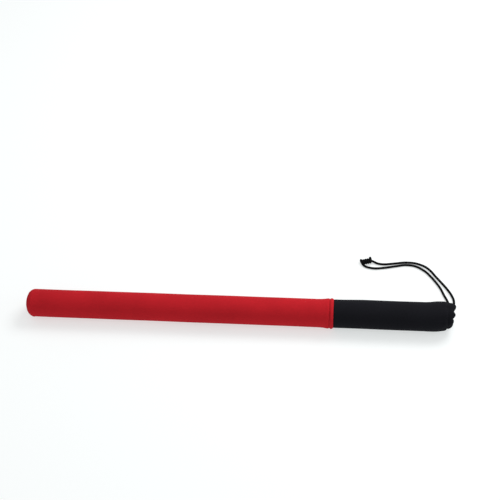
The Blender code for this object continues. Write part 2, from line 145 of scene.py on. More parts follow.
CAMERA_PLACE = (0.18068, -0.93693, 1.2280)
CAMERA_ANGLES = (48.34, 9.12, -5.10)  # elevation, azimuth and roll in degrees
LENS, SENSOR = 72, 36  # mm
FLOOR_HALF = 25.0  # half of the floor's width, so wide that its edges stay out of sight
FLOOR_COLOUR = (0.42, 0.43, 0.43, 1.0)
GLOW_COLOUR = (0.970, 1.0, 1.0, 1.0)
FLOOR_GLOW = 0.575  # the paper is lit from below too, as on a light table, so that shadows stay pale
WORLD = 0.62  # strength of the even studio light


# ---------------------------------------------------------------- camera, light and floor
def make_camera():
    elevation, azimuth, roll = (math.radians(angle) for angle in CAMERA_ANGLES)
    back = Vector((math.sin(azimuth) * math.cos(elevation), -math.cos(azimuth) * math.cos(elevation),
                   math.sin(elevation)))
    level = Vector((0, 0, 1)).cross(back).normalized()
    upright = back.cross(level)
    right = math.cos(roll) * level + math.sin(roll) * upright
    up = -math.sin(roll) * level + math.cos(roll) * upright
    data = bpy.data.cameras.new("camera")
    data.lens = LENS
    data.sensor_width = SENSOR
    data.clip_end = 2 * FLOOR_HALF
    camera = bpy.data.objects.new("camera", data)
    turn = Matrix((right, up, back)).transposed().to_4x4()
    camera.matrix_world = Matrix.Translation(CAMERA_PLACE) @ turn
    bpy.context.scene.collection.objects.link(camera)
    bpy.context.scene.camera = camera


def area_light(name, place, target, size, power):
    data = bpy.data.lights.new(name, "AREA")
    data.shape = "RECTANGLE"
    data.size, data.size_y = size
    data.energy = power
    light = bpy.data.objects.new(name, data)
    light.location = place
    light.rotation_mode = "QUATERNION"
    light.rotation_quaternion = (Vector(target) - Vector(place)).to_track_quat("-Z", "Y")
    bpy.context.scene.collection.objects.link(light)


def make_lights():
    scene = bpy.context.scene
    scene.view_settings.view_transform = "Standard"
    scene.view_settings.look = "None"
    world = bpy.data.worlds.new("studio")
    world.use_nodes = True
    world.node_tree.nodes["Background"].inputs["Color"].default_value = (1.0, 1.0, 1.0, 1.0)
    world.node_tree.nodes["Background"].inputs["Strength"].default_value = WORLD
    scene.world = world
    area_light("key", place=(0.62, 0.72, 1.15), target=(0.05, 0.0, 0.0), size=(0.9, 0.6), power=15)
    area_light("side", place=(1.6, -0.1, 0.8), target=(0.2, 0.0, 0.0), size=(0.8, 0.8), power=3)


def make_floor():
    mesh = bpy.data.meshes.new("floor")
    low, high = -FLOOR_HALF, FLOOR_HALF
    mesh.from_pydata([(low, low, 0), (high, low, 0), (high, high, 0), (low, high, 0)], [], [(0, 1, 2, 3)])
    floor = bpy.data.objects.new("floor", mesh)
    bpy.context.scene.collection.objects.link(floor)
    material = bpy.data.materials.new("pale_floor")
    material.use_nodes = True
    shader = material.node_tree.nodes["Principled BSDF"]
    shader.inputs["Base Color"].default_value = FLOOR_COLOUR
    shader.inputs["Roughness"].default_value = 0.9
    shader.inputs["Specular IOR Level"].default_value = 0.1
    shader.inputs["Emission Color"].default_value = GLOW_COLOUR
    shader.inputs["Emission Strength"].default_value = FLOOR_GLOW
    mesh.materials.append(material)


# ---------------------------------------------------------------- materials
class Shading:
    """A material's node tree, with short calls for the nodes that the fabrics share."""

    def __init__(self, name):
        self.material = bpy.data.materials.new(name)
        self.material.use_nodes = True
        self.tree = self.material.node_tree
        self.shader = self.tree.nodes["Principled BSDF"]

    def set(self, **values):
        for name, value in values.items():
            self.shader.inputs[name.replace("_", " ")].default_value = value

    def add(self, kind, inputs=None, **settings):
        node = self.tree.nodes.new(kind)
        for name, value in settings.items():
            setattr(node, name, value)
        for key, value in (inputs or {}).items():
            if isinstance(value, bpy.types.NodeSocket):
                self.tree.links.new(value, node.inputs[key])
            else:
                node.inputs[key].default_value = value
        return node

    def math(self, operation, first, second=0.0, third=0.0):
        return self.add("ShaderNodeMath", {0: first, 1: second, 2: third}, operation=operation).outputs[0]

    def object_point(self):
        return self.add("ShaderNodeTexCoord").outputs["Object"]

    def wrapped_point(self):
        """(along, around) on the baton in metres, with the jump at the lengthwise seam."""
        point = self.add("ShaderNodeSeparateXYZ", {0: self.object_point()}).outputs
        lift = self.math("SUBTRACT", point["Z"], AXIS_HEIGHT)
        cosine, sine = math.cos(-SEAM), math.sin(-SEAM)
        across = self.math("SUBTRACT", self.math("MULTIPLY", point["Y"], cosine),
                           self.math("MULTIPLY", lift, sine))
        upright = self.math("ADD", self.math("MULTIPLY", point["Y"], sine),
                            self.math("MULTIPLY", lift, cosine))
        angle = self.math("ARCTAN2", self.math("MULTIPLY", upright, -1.0),
                          self.math("MULTIPLY", across, -1.0))
        return point["X"], self.math("MULTIPLY", angle, RADIUS)

    def noise(self, point, scale, detail=2.0, roughness=0.5):
        return self.add("ShaderNodeTexNoise", {"Vector": point, "Scale": scale, "Detail": detail,
                                               "Roughness": roughness}).outputs["Fac"]

    def mix(self, share, first, second):
        node = self.add("ShaderNodeMix", {"Factor": share, "A": first, "B": second}, data_type="RGBA")
        return node.outputs["Result"]

    def tone(self, value, stops):
        """A colour ramp over a value: stops are (position, colour)."""
        node = self.add("ShaderNodeValToRGB", {"Fac": value})
        ramp = node.color_ramp
        while len(ramp.elements) < len(stops):
            ramp.elements.new(0.5)
        for element, (position, colour) in zip(ramp.elements, stops):
            element.position = position
            element.color = (*colour, 1.0)
        return node.outputs["Color"]

    def link(self, value, name):
        self.tree.links.new(value, self.shader.inputs[name])

    def bump(self, height, distance, strength, under=None):
        inputs = {"Height": height, "Distance": distance, "Strength": strength}
        if under is not None:
            inputs["Normal"] = under
        return self.add("ShaderNodeBump", inputs).outputs["Normal"]


def scaled(colour, factor):
    return tuple(channel * factor for channel in colour)


def woven_cloth(name, colour, pitch, sheen, sheen_tint, wrapped=True):
    """Fine plain weave: threads along and round the baton, or straight across a flat panel."""
    look = Shading(name)
    point = look.object_point()
    if wrapped:
        along, across = look.wrapped_point()
    else:
        split = look.add("ShaderNodeSeparateXYZ", {0: point}).outputs
        along, across = split["Y"], split["Z"]
    wobble = look.math("MULTIPLY", look.noise(point, scale=240.0), pitch * 0.35)
    warp = look.math("SINE", look.math("MULTIPLY", look.math("ADD", along, wobble), math.pi / pitch))
    weft = look.math("SINE", look.math("MULTIPLY", look.math("ADD", across, wobble), math.pi / pitch))
    weave = look.math("MULTIPLY", warp, weft)
    threads = look.math("MULTIPLY_ADD", weave, 0.5, 0.5)
    fleck = look.noise(point, scale=900.0, detail=3.0, roughness=0.65)
    cloud = look.noise(point, scale=22.0)
    base = look.tone(cloud, ((0.35, scaled(colour, 0.93)), (0.65, scaled(colour, 1.07))))
    deep = look.mix(look.math("MULTIPLY", threads, 0.30), base, (*scaled(colour, 0.62), 1.0))
    speckled = look.mix(look.tone(fleck, ((0.42, (0, 0, 0)), (0.66, (0.55, 0.55, 0.55)))), deep,
                        (*scaled(colour, 1.28), 1.0))
    look.link(speckled, "Base Color")
    look.link(look.math("MULTIPLY_ADD", fleck, 0.16, 0.74), "Roughness")
    look.set(Sheen_Weight=sheen, Sheen_Roughness=0.45, Sheen_Tint=(*sheen_tint, 1.0), Specular_IOR_Level=0.04)
    grain = look.bump(fleck, distance=0.00012, strength=0.35)
    look.link(look.bump(weave, distance=0.00009, strength=0.6, under=grain), "Normal")
    return look.material


def braided_cord(name, colour):
    """The cord's fibres. Its strands are in its shape."""
    look = Shading(name)
    point = look.object_point()
    fibre = look.noise(point, scale=2600.0, roughness=0.7)
    wear = look.noise(point, scale=90.0)
    base = look.tone(fibre, ((0.3, scaled(colour, 0.6)), (0.75, scaled(colour, 1.7))))
    look.link(look.mix(look.math("MULTIPLY", wear, 0.35), base, (*scaled(colour, 2.0), 1.0)), "Base Color")
    look.link(look.math("MULTIPLY_ADD", fibre, 0.2, 0.55), "Roughness")
    look.set(Sheen_Weight=0.01, Sheen_Roughness=0.4, Specular_IOR_Level=0.05)
    look.link(look.bump(fibre, distance=0.00008, strength=0.6), "Normal")
    return look.material


def sewing_thread(name, colour):
    look = Shading(name)
    twist = look.noise(look.object_point(), scale=3800.0, detail=1.0)
    look.link(look.tone(twist, ((0.3, scaled(colour, 0.7)), (0.7, scaled(colour, 1.35)))), "Base Color")
    look.set(Roughness=0.65, Sheen_Weight=0.02, Specular_IOR_Level=0.06)
    look.link(look.bump(twist, distance=0.00006, strength=0.7), "Normal")
    return look.material


def cellular_foam(name, colour):
    look = Shading(name)
    point = look.object_point()
    cells = look.add("ShaderNodeTexVoronoi", {"Vector": point, "Scale": 900.0}).outputs["Distance"]
    cloud = look.noise(point, scale=60.0)
    base = look.tone(cells, ((0.1, scaled(colour, 1.25)), (0.75, scaled(colour, 0.6))))
    look.link(look.mix(look.math("MULTIPLY", cloud, 0.3), base, (*scaled(colour, 1.5), 1.0)), "Base Color")
    look.set(Roughness=0.95, Specular_IOR_Level=0.2)
    look.link(look.bump(cells, distance=0.00015, strength=0.8), "Normal")
    return look.material


def moulded_plastic(name, colour, roughness, grain):
    """Extruded or moulded plastic: faint clouding, fine grain and drawn lines along the tube."""
    look = Shading(name)
    point = look.object_point()
    split = look.add("ShaderNodeSeparateXYZ", {0: point}).outputs
    stretched = look.add("ShaderNodeCombineXYZ", {"X": look.math("MULTIPLY", split["X"], 0.03),
                                                  "Y": split["Y"], "Z": split["Z"]}).outputs[0]
    lines = look.noise(stretched, scale=900.0)
    cloud = look.noise(point, scale=45.0)
    look.link(look.tone(cloud, ((0.3, scaled(colour, 0.9)), (0.7, scaled(colour, 1.1)))), "Base Color")
    look.link(look.math("MULTIPLY_ADD", lines, 0.15, roughness), "Roughness")
    look.link(look.bump(lines, distance=grain, strength=0.4), "Normal")
    return look.material


RED = (0.438, 0.0127, 0.0192)
BLACK = (0.0078, 0.0080, 0.0104)
RED_FABRIC = {"pitch": 0.00055, "sheen": 0.03, "sheen_tint": (1.0, 0.10, 0.12)}
RED_CLOTH = woven_cloth("red_weave", RED, **RED_FABRIC)
RED_PANEL = woven_cloth("red_panel_weave", RED, **RED_FABRIC, wrapped=False)
BLACK_CLOTH = woven_cloth("black_weave", BLACK, pitch=0.00060, sheen=0.01, sheen_tint=(0.7, 0.75, 0.9))
BLACK_CORD = braided_cord("black_braid", (0.0030, 0.0030, 0.0036))
RED_THREAD = sewing_thread("red_sewing_thread", (0.27, 0.009, 0.014))
BLACK_THREAD = sewing_thread("black_sewing_thread", (0.0060, 0.0060, 0.0075))
GREY_FOAM = cellular_foam("grey_cell_foam", (0.060, 0.060, 0.064))
CORE_PLASTIC = moulded_plastic("drawn_core_plastic", (0.55, 0.54, 0.50), roughness=0.36, grain=0.00006)
PLUG_PLASTIC = moulded_plastic("moulded_plug_plastic", (0.030, 0.030, 0.032), roughness=0.42, grain=0.00003)


# ---------------------------------------------------------------- building meshes
def put(name, mesh, material):
    """A piece of the baton, which is all one body."""
    mesh.materials.append(material)
    piece = bpy.data.objects.new(name, mesh)
    bpy.context.scene.collection.objects.link(piece)
    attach(piece, "root")
    return piece


def grid_mesh(name, points, holes=None, poles=()):
    """Rows of points that close round the columns. holes marks faces to leave out. poles are end points,
    the first before the first row and the second after the last, each a fan of triangles."""
    rows, columns = points.shape[:2]
    index = np.arange(rows * columns).reshape(rows, columns)
    after = np.roll(index, -1, axis=1)
    faces = np.stack([index[:-1], after[:-1], after[1:], index[1:]], -1)
    if holes is not None:
        faces = faces[~holes]
    faces = faces.reshape(-1, 4).tolist()
    vertices = points.reshape(-1, 3).tolist()
    for pole, row, turned in zip(poles, (0, rows - 1), (False, True)):
        if pole is None:
            continue
        vertices.append(list(pole))
        tip = len(vertices) - 1
        for here, there in zip(index[row].tolist(), after[row].tolist()):
            faces.append([here, there, tip] if turned else [there, here, tip])
    mesh = bpy.data.meshes.new(name)
    mesh.from_pydata(vertices, [], faces)
    mesh.shade_smooth()
    return mesh


def weld(mesh):
    """Makes one of the points that lie on each other."""
    cage = bmesh.new()
    cage.from_mesh(mesh)
    bmesh.ops.remove_doubles(cage, verts=cage.verts, dist=1e-6)
    cage.to_mesh(mesh)
    cage.free()
    return mesh


def lengths_along(points):
    """How far along a line each of its points lies."""
    return np.concatenate([[0.0], np.cumsum(np.linalg.norm(np.diff(points, axis=0), axis=1))])


def tube_mesh(name, line, radii, sides, closed=False, relief=None):
    """A round tube along a line of points, with rounded ends if it is open. relief(length, angle) adds to
    the radius."""
    line = np.asarray(line, float)
    if closed:
        ahead, behind = np.roll(line, -1, axis=0), np.roll(line, 1, axis=0)
    else:
        ahead, behind = np.vstack([line[1:], line[-1:]]), np.vstack([line[:1], line[:-1]])
    along = ahead - behind
    along /= np.linalg.norm(along, axis=1)[:, None]
    side = np.zeros_like(line)
    start = np.cross(along[0], (0.0, 0.0, 1.0))
    if np.linalg.norm(start) < 0.1:
        start = np.cross(along[0], (1.0, 0.0, 0.0))
    side[0] = start / np.linalg.norm(start)
    for i in range(1, len(line)):
        carried = side[i - 1] - np.dot(side[i - 1], along[i]) * along[i]
        side[i] = carried / np.linalg.norm(carried)
    up = np.cross(along, side)
    angle = np.arange(sides) * math.tau / sides
    radius = np.broadcast_to(np.asarray(radii, float).reshape(-1, 1), (len(line), 1)) + np.zeros((1, sides))
    if relief is not None:
        radius = radius + relief(lengths_along(line)[:, None], angle[None, :])
    points = (line[:, None] + radius[..., None] * (np.cos(angle)[None, :, None] * side[:, None]
                                                   + np.sin(angle)[None, :, None] * up[:, None]))
    if closed:
        return weld(grid_mesh(name, np.concatenate([points, points[:1]])))
    size = float(np.mean(radius[[0, -1]]))
    narrow, step, end = 0.7, size * 0.35, size * 0.5  # a narrower ring this far on, and the very end
    front = line[:1, None] + (points[:1] - line[:1, None]) * narrow - along[0] * step
    rear = line[-1:, None] + (points[-1:] - line[-1:, None]) * narrow + along[-1] * step
    poles = (line[0] - along[0] * end, line[-1] + along[-1] * end)
    return grid_mesh(name, np.concatenate([front, points, rear]), poles=poles)


def joined(name, meshes):
    """Several meshes as one."""
    cage = bmesh.new()
    for mesh in meshes:
        cage.from_mesh(mesh)
        bpy.data.meshes.remove(mesh)
    result = bpy.data.meshes.new(name)
    cage.to_mesh(result)
    cage.free()
    result.shade_smooth()
    return result


def smooth_line(points, step, measured=3):
    """Points at equal steps along a Catmull-Rom curve through the given ones. The steps are measured over
    the first so many coordinates."""
    ends = [2 * points[0] - points[1], *points, 2 * points[-1] - points[-2]]
    fine = []
    for before, here, there, after in zip(ends, ends[1:], ends[2:], ends[3:]):
        for t in np.arange(24) / 24:
            fine.append(0.5 * (2 * here + (there - before) * t
                               + (2 * before - 5 * here + 4 * there - after) * t ** 2
                               + (3 * here - before - 3 * there + after) * t ** 3))
    fine.append(points[-1])
    fine = np.array(fine)
    lengths = lengths_along(fine[:, :measured])
    count = max(2, round(lengths[-1] / step))
    wanted = np.linspace(0.0, lengths[-1], count + 1)
    return np.stack([np.interp(wanted, lengths, fine[:, k]) for k in range(fine.shape[1])], -1)


def along_outline(outline, step):
    """An outline of (station, radius, ...) points, smoothed and evenly divided."""
    return smooth_line([np.array(point, float) for point in outline], step, measured=2)


def turns(count, pull=0.0):
    """Angles round the axis from seam to seam, closer together at the seam by the share pull."""
    t = np.arange(count) / count
    return SEAM + math.tau * t - pull * np.sin(math.tau * t)


def around(station, radius, turn):
    """Points round the baton's axis."""
    return np.stack([station + 0 * turn, radius * np.cos(turn) + 0 * station,
                     AXIS_HEIGHT + radius * np.sin(turn) + 0 * station], -1)


def radial(turn):
    """The way straight out of the axis."""
    return np.array((0.0, math.cos(turn), math.sin(turn)))


def press(points, depth):
    """The floor flattens the underside: a layer this deep under the outer one rests this high."""
    height = points[..., 2] - depth
    points[..., 2] = depth + (height + np.sqrt(height ** 2 + PRESS_SOFTNESS ** 2)) / 2
    return points


def wrap(turn):
    """An angle brought to within half a turn of zero."""
    return (turn + math.pi) % math.tau - math.pi


def bell(distance, width):
    """1 at no distance, falling off smoothly on both sides."""
    return np.exp(-(distance / width) ** 2)


def ease(value, low, high):
    """From 0 at low to 1 at high, smoothly."""
    t = np.clip((value - low) / (high - low), 0.0, 1.0)
    return t * t * (3 - 2 * t)


def lengthwise_seam(station, turn):
    """Change of radius where the cloth's two edges are sewn together and turned in: a groove that is deeper
    at each stitch, the edges' ridge on both sides of it, and a slight pucker."""
    arc = RADIUS * wrap(turn - SEAM)
    stitches = station * math.tau / SEAM_PITCH
    groove = -0.00050 * (0.75 + 0.25 * np.cos(stitches)) * bell(arc, 0.00045)
    ridges = 0.00016 * bell(np.abs(arc) - 0.0013, 0.0007)
    pucker = 0.00007 * np.sin(stitches + 0.8) * bell(arc, 0.004)
    return groove + ridges + pucker


def unevenness(station, turn):
    """Padding under cloth is never quite straight: two slow waves that wind round it."""
    return 0.00005 * (np.sin(station * 61 + 1.3 + 1.7 * np.sin(turn + 0.4))
                      + np.sin(station * 37 - 0.6 + 2.1 * np.cos(turn - 1.0)))


def solidify(piece):
    """Gives a drawn outer surface the thickness of cloth, inwards."""
    layer = piece.modifiers.new("cloth", "SOLIDIFY")
    layer.thickness = CLOTH
    layer.offset = -1.0
    layer.use_quality_normals = True


# ---------------------------------------------------------------- red sleeve, end panel and their seams
def corner_point(degrees, distance):
    """(station, radius) at this distance from the centre of the tip's rounding."""
    turn = math.radians(degrees)
    return (TIP_CENTRE[0] - distance * math.sin(turn), TIP_CENTRE[1] + distance * math.cos(turn))


def foam_ridge(station, turn):
    """The edge of the padding shows faintly through the cloth, most on the lower front."""
    edge, width = TIP + 0.0118, 0.0016
    height = 0.00028 - 0.00020 * np.cos(turn - MOUTH_LEAN)
    return height * bell(station - edge, width)


def red_sleeve_rings():
    """(station, radius, depth) from the tip's seam over the corner, along the body, round the hem's fold and
    back inside it."""
    rings = [(*corner_point(TIP_SEAM - degrees, TIP_CORNER - inward), depth)
             for degrees, inward, depth in reversed(TIP_TURN_IN)]
    rings += [(*corner_point(degrees, TIP_CORNER), 0.0) for degrees in range(36, 0, -5)]
    step, fine_end, body_end = 0.0010, TIP + 0.026, HEM_EDGE - 0.026
    rings += [(station, RADIUS, 0.0) for station in np.arange(TIP + TIP_DEPTH, fine_end, step)]
    rings += [(station, RADIUS, 0.0) for station in np.linspace(fine_end + step, body_end, 150)]
    shoulder = HEM_EDGE - 0.024  # where the cloth starts to rise over the hem's allowance
    hem = along_outline((
        (shoulder, RADIUS, 0.0), (shoulder + 0.005, RADIUS + 0.00018, 0.0),
        (shoulder + 0.009, RADIUS + 0.0005, 0.0), (shoulder + 0.0125, RADIUS + 0.0010, 0.0),
        (shoulder + 0.0150, RADIUS + 0.00135, 0.0), (shoulder + 0.0162, RADIUS + 0.00125, 0.0),
        (HEM_STITCH, RADIUS + 0.00045, 0.0), (HEM_STITCH + 0.0010, RADIUS + 0.00095, 0.0),
        (HEM_STITCH + 0.0020, RADIUS + 0.00160, 0.0), (HEM_STITCH + 0.0029, RADIUS + 0.00180, 0.0),
        (HEM_STITCH + 0.0039, RADIUS + 0.00160, 0.0), (HEM_STITCH + 0.0049, RADIUS + 0.00110, 0.0),
        (HEM_STITCH + 0.0057, RADIUS + 0.00050, 0.0), (HEM_EDGE - 0.0001, RADIUS + 0.00005, 0.0003),
        (HEM_EDGE - 0.0005, RADIUS - 0.00030, 0.0008), (HEM_EDGE - 0.0013, RADIUS - 0.00025, 0.0013),
        (HEM_EDGE - 0.0025, RADIUS + 0.00010, 0.0013), (HEM_EDGE - 0.0038, RADIUS + 0.00030, 0.0014),
        (HEM_EDGE - 0.0053, RADIUS - 0.00020, 0.0013), (HEM_STITCH, RADIUS - 0.00070, 0.0013),
        (HEM_EDGE - 0.0076, RADIUS - 0.00020, 0.0013), (HEM_EDGE - 0.0103, RADIUS - 0.00005, 0.0013),
    ), 0.00032)
    return np.vstack([np.array(rings), hem])


def make_red_sleeve():
    rings = red_sleeve_rings()
    station, radius, depth = (rings[:, k:k + 1] for k in range(3))
    turn = turns(count=168, pull=0.72)[None, :]
    reach = ease(station, TIP + 0.010, TIP + 0.016)
    folded = np.where(np.arange(len(rings))[:, None] > np.argmax(station), 0.0, 1.0)
    bump = (lengthwise_seam(station, turn) * reach * folded + unevenness(station, turn) * reach
            + foam_ridge(station, turn))
    pulled = -0.00012 * bell(station - HEM_STITCH, 0.0012) * folded * np.cos(turn * HEM_STITCHES)
    waves = 0.00008 * folded * reach * np.sin(turn * 7 + 1.0) * bell(station - HEM_STITCH - 0.003, 0.003)
    points = press(around(station, radius + bump + pulled + waves, turn), depth)
    piece = put("red_sleeve_cloth", grid_mesh("red_sleeve_cloth", points), RED_CLOTH)
    solidify(piece)
    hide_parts("red_sleeve")
    return piece


def make_tip_panel():
    """The panel is domed to a crown radius that runs smoothly into the rounded corner."""
    offset = RADIUS - TIP_CORNER
    crown = (TIP_DEPTH ** 2 + offset ** 2 - TIP_CORNER ** 2) / (2 * (TIP_DEPTH - TIP_CORNER))
    half_angle = math.atan2(offset, crown - TIP_DEPTH)
    rings = [(TIP + crown - crown * math.cos(angle), crown * math.sin(angle))
             for angle in half_angle * np.arange(1, 19) / 18]
    rings += [corner_point(degrees, TIP_CORNER) for degrees in (68, 64, 60, 56, 53)]
    rings += [corner_point(TIP_SEAM + degrees, TIP_CORNER - inward) for degrees, inward, _ in TIP_TURN_IN]
    station, radius = np.array(rings)[:, :1], np.array(rings)[:, 1:]
    turn = turns(count=120)[None, :]
    gather = 0.00010 * np.sin(turn * 19 + 2 * np.sin(turn * 3)) * bell(radius - 0.0178, 0.0035)
    points = press(around(station - gather, radius, turn), 0.0)
    mesh = grid_mesh("tip_panel_cloth", points, poles=((TIP, 0.0, AXIS_HEIGHT), None))
    piece = put("tip_panel_cloth", mesh, RED_PANEL)
    solidify(piece)
    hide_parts("tip_panel")
    return piece


def stitch_row(name, count, point_at, length, thread, material, dip=0.0004):
    """A row of stitches round the baton. point_at(turn) gives the point on the cloth and the way out of it.
    A stitch's length is an angle round the axis, thread is its radius, and its ends dip into the cloth."""
    meshes = []
    for i in range(count):
        middle = math.tau * i / count
        line = []
        for k in range(7):
            share = k / 6 - 0.5
            place, out = point_at(middle + share * length)
            line.append(place + out * (thread * 0.55 - dip * (2 * abs(share)) ** 3))
        meshes.append(tube_mesh(name, line, thread, sides=8))
    return put(name, joined(name, meshes), material)


def ring_surface(station, radius):
    """The place on a round layer for stitch_row, pressed on the floor as the cloth is."""
    def at(turn):
        return press(around(station, radius, turn), 0.0), radial(turn)
    return at


def make_red_stitching():
    hem = stitch_row("hem_topstitch", HEM_STITCHES, ring_surface(HEM_STITCH, RADIUS + 0.00047),
                     length=0.115, thread=0.00024, material=RED_THREAD)
    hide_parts("hem_stitch_thread")
    station, radius = corner_point(TIP_SEAM, TIP_CORNER - 0.0012)
    tip = stitch_row("tip_seam_stitches", 40, ring_surface(station, radius), length=0.13, thread=0.00018,
                     material=RED_THREAD, dip=0.0002)
    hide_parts("tip_seam_thread")
    return hem, tip


def seam_stitches(name, start, end, material):
    """Short bars of thread that show at the bottom of a lengthwise seam, a little aslant."""
    half, thread = 0.00055, 0.00015
    meshes = []
    count = round((end - start) / SEAM_PITCH)
    for i in range(count):
        station = start + (end - start) * (i + 0.5) / count
        line = []
        for share in (-1.0, -0.5, 0.0, 0.5, 1.0):
            arc = share * half
            radius = RADIUS - 0.00052 + 0.00030 * abs(share) ** 1.5
            line.append(around(station + arc * 0.35, radius, SEAM + arc / RADIUS))
        meshes.append(tube_mesh(name, line, thread, sides=8))
    return put(name, joined(name, meshes), material)


# ---------------------------------------------------------------- black grip and its gathered mouth
def pleat(turn, gathered):
    """1 at a valley between two pleats, falling to 0 on their crowns. gathered runs from 0 out on the body,
    where the valleys differ in depth, to 1 on the channel, where they don't."""
    degrees = np.degrees(turn) % 360
    edges = np.array([*VALLEYS, VALLEYS[0] + 360])
    degrees = np.where(degrees < edges[0], degrees + 360, degrees)
    spot = np.clip(np.searchsorted(edges, degrees, side="right") - 1, 0, len(VALLEYS) - 1)
    share = np.clip((degrees - edges[spot]) / (edges[spot + 1] - edges[spot]), 0.0, 1.0)
    depths = np.array([*CREASES, CREASES[0]])
    depth = np.where(share < 0.5, depths[spot], depths[spot + 1])
    return (1 - np.sin(math.pi * share) ** PLEAT_ROUNDNESS) * (depth + (1 - depth) * gathered)


def grip_outline():
    """(station, mean radius, depth, pleat depth, pull) in three runs: under the red hem, along the body, and
    then over the channel, into the mouth and back to the channel's stitching."""
    mm = 0.001
    tuck = [(GRIP_START, 20.4 * mm, 1.2 * mm, 0, 0), (GRIP_START + 5 * mm, 20.4 * mm, 1.2 * mm, 0, 0),
            (HEM_EDGE - 2.6 * mm, 20.4 * mm, 1.2 * mm, 0, 0),
            (HEM_EDGE - 1.1 * mm, 20.75 * mm, 0.9 * mm, 0, 0),
            (HEM_EDGE + 0.5 * mm, 21.35 * mm, 0.3 * mm, 0, 0), (HEM_EDGE + 2 * mm, RADIUS, 0, 0, 0),
            (HEM_EDGE + 5 * mm, RADIUS, 0, 0, 0)]
    # (station from the butt, mean radius, pleat depth) in mm, and pull
    gathered = [
        (-40.0, 22.15, 0.00, 0.20), (-35.0, 22.35, 0.04, 0.28), (-30.0, 22.65, 0.12, 0.45),
        (-25.5, 22.75, 0.36, 0.62), (-22.0, 22.65, 0.70, 0.74), (-19.6, 22.45, 1.05, 0.84),
        (-17.0, 22.30, 1.45, 0.94), (-14.7, 22.10, 1.75, 1.00), (-13.2, 21.75, 1.80, 1.00),
        (-12.0, 21.00, 1.60, 1.00), (-11.1, 19.85, 1.30, 1.00), (-10.3, 18.85, 1.20, 1.00),
        (-9.4, 18.75, 1.15, 1.00), (-8.1, 18.90, 1.20, 1.00), (-6.7, 18.70, 1.30, 1.00),
        (-5.1, 18.10, 1.50, 1.00), (-3.6, 17.10, 1.80, 1.00), (-2.2, 15.70, 2.10, 1.00),
        (-1.1, 13.80, 2.40, 1.00), (-0.5, 12.00, 2.50, 1.00), (-0.6, 10.30, 2.30, 1.00),
        (-1.4, 8.90, 1.80, 1.00), (-3.0, 7.90, 1.30, 1.00), (-5.2, 7.60, 0.80, 1.00),
        (-7.7, 8.10, 0.50, 1.00), (-9.7, 9.50, 0.30, 1.00), (-10.9, 11.60, 0.20, 1.00),
        (-11.4, 14.00, 0.10, 1.00), (-11.5, 15.40, 0.00, 1.00),
    ]
    body = HEM_EDGE + 8 * mm
    swell, pull = 0.42 * mm, 0.18
    straight = [(station, RADIUS + swell * share, 0, 0, pull * share)
                for station in np.linspace(body, BUTT - 43 * mm, 40)
                for share in [ease(station, body, HEM_EDGE + 50 * mm)]]
    mouth = [(BUTT + station * mm, radius * mm, 0, valley * mm, pull) for station, radius, valley, pull in
             gathered]
    return (along_outline(tuck, 0.0010), np.array(straight), along_outline(mouth, 0.00058))


def near_butt(station, start, full):
    """From 0 at one distance from the butt to 1 at a smaller one."""
    return ease(station, BUTT - start, BUTT - full)


def mouth_surface(rows, turn):
    """Points of the grip's outer surface for rows of grip_outline, at these turns."""
    station, radius, depth, valley, pull = (rows[:, k:k + 1] for k in range(5))
    wander = 0.05 * np.sin(station * 700) * near_butt(station, 0.03, 0.01)
    inward = valley * pleat(turn + wander, near_butt(station, 0.015, 0.009))
    # the outline's way out, so that the pleats sink into the channel from every side
    slope = np.gradient(rows[:, :2], axis=0)
    slope /= np.linalg.norm(slope, axis=1)[:, None] + 1e-12
    out_along, out_across = -slope[:, 1:2], slope[:, 0:1]
    station_now = station - inward * out_along
    radius_now = radius - inward * out_across
    radius_now = (radius_now + lengthwise_seam(station, turn) * (1 - near_butt(station, 0.03, 0.018))
                  + unevenness(station, turn) * 1.4)
    middle, width, reach = MOUTH_FULLNESS
    rim = 1 + 1.1 * bell(radius - 0.0120, 0.0040)  # fullest of all at the mouth's rim
    fuller = reach * rim * near_butt(station, 0.014, 0.009)
    radius_now = radius_now + fuller * bell(wrap(turn - middle), width)
    points = around(station_now, radius_now, turn)
    lean = radial(MOUTH_LEAN)
    high = points[..., 1] * lean[1] + (points[..., 2] - AXIS_HEIGHT) * lean[2]
    points = points + MOUTH_SHIFT * pull[..., None] * lean
    points[..., 0] += MOUTH_TILT * high * near_butt(station, 0.012, 0.004)
    for middle, width, reach in MOUTH_BULGES:
        points[..., 0] += reach * bell(wrap(turn - middle), width) * near_butt(station, 0.011, 0.002)
    return press(points, depth)


def fit_to_slit(points, holes, across):
    """Moves the corners round the hole onto the slit's outline, so that its edge is smooth. across is each
    column's distance from the slit's middle."""
    padded = np.pad(holes, 1)
    padded[1:-1, 0], padded[1:-1, -1] = holes[:, -1], holes[:, 0]
    touching = sum(padded[i:i + points.shape[0], j:j + points.shape[1]].astype(int)
                   for i in (0, 1) for j in (0, 1))
    for i, j in zip(*np.nonzero((touching > 0) & (touching < 4))):
        offset = np.array((across[j] - np.clip(across[j], -SLIT_SIDE, SLIT_SIDE),
                           points[i, j, 0] - SLIT_STATION))
        distance = np.linalg.norm(offset)
        shift = offset / distance * (SLIT_END - distance)
        after = (j + 1) % points.shape[1]
        sideways = (points[i, after] - points[i, j - 1]) / (across[after] - across[j - 1])
        lengthways = points[i + 1, j] - points[i - 1, j]
        points[i, j] += sideways * shift[0] + lengthways / lengthways[0] * shift[1]


